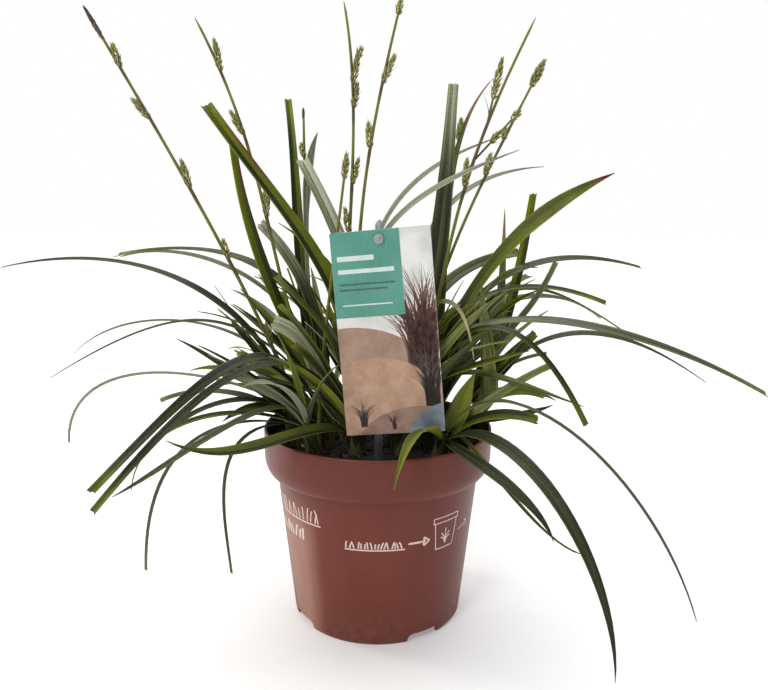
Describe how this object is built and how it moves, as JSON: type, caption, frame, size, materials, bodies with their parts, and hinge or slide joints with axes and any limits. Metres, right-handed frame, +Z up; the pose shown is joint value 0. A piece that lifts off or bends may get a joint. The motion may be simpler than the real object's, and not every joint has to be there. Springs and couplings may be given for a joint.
{
  "type": "potted carex sedge",
  "caption": "Clump of carex sedge with arching grassy leaves and flowering stems, in a round terracotta-red nursery pot with a label card on a stake.",
  "frame": {"origin": "centre of the pot's base circle, on the surface that the pot stands on", "axes": "+Z up along the pot's axis, +X to the right seen from the label's side, -Y towards the viewer on the label's side"},
  "size_m": [0.4046, 0.2625, 0.342],
  "materials": {
    "pot_plastic": "satin terracotta-red polypropylene, thin-walled",
    "peat": "dark crumbly peat with a few pale bits",
    "label_card": null,
    "label_stake": "grey translucent polypropylene",
    "leaf": "dark green, glossy upper side with parallel veins and a pale channelled midrib",
    "culm": "yellow-green three-edged stems with beaked spikes and dark nodes"
  },
  "bodies": {
    "root": {"pot": "pot_plastic", "soil": "peat", "label_card": "label_card", "label_stake": "label_stake", "shoot_inner_1": "leaf", "shoot_inner_2": "leaf", "shoot_inner_3": "leaf", "shoot_inner_4": "leaf", "shoot_middle_1": "leaf", "shoot_middle_2": "leaf", "shoot_middle_3": "leaf", "shoot_middle_4": "leaf", "shoot_middle_5": "leaf", "shoot_middle_6": "leaf", "shoot_middle_7": "leaf", "shoot_middle_8": "leaf", "shoot_outer_1": "leaf", "shoot_outer_2": "leaf", "shoot_outer_3": "leaf", "shoot_outer_4": "leaf", "shoot_outer_5": "leaf", "shoot_outer_6": "leaf", "shoot_outer_7": "leaf", "shoot_outer_8": "leaf", "shoot_outer_9": "leaf", "shoot_outer_10": "leaf", "culm_1": "culm", "culm_2": "culm", "culm_3": "culm", "culm_4": "culm", "culm_5": "culm", "culm_6": "culm", "culm_7": "culm", "culm_8": "culm", "culm_9": "culm"}
  },
  "joints": []
}
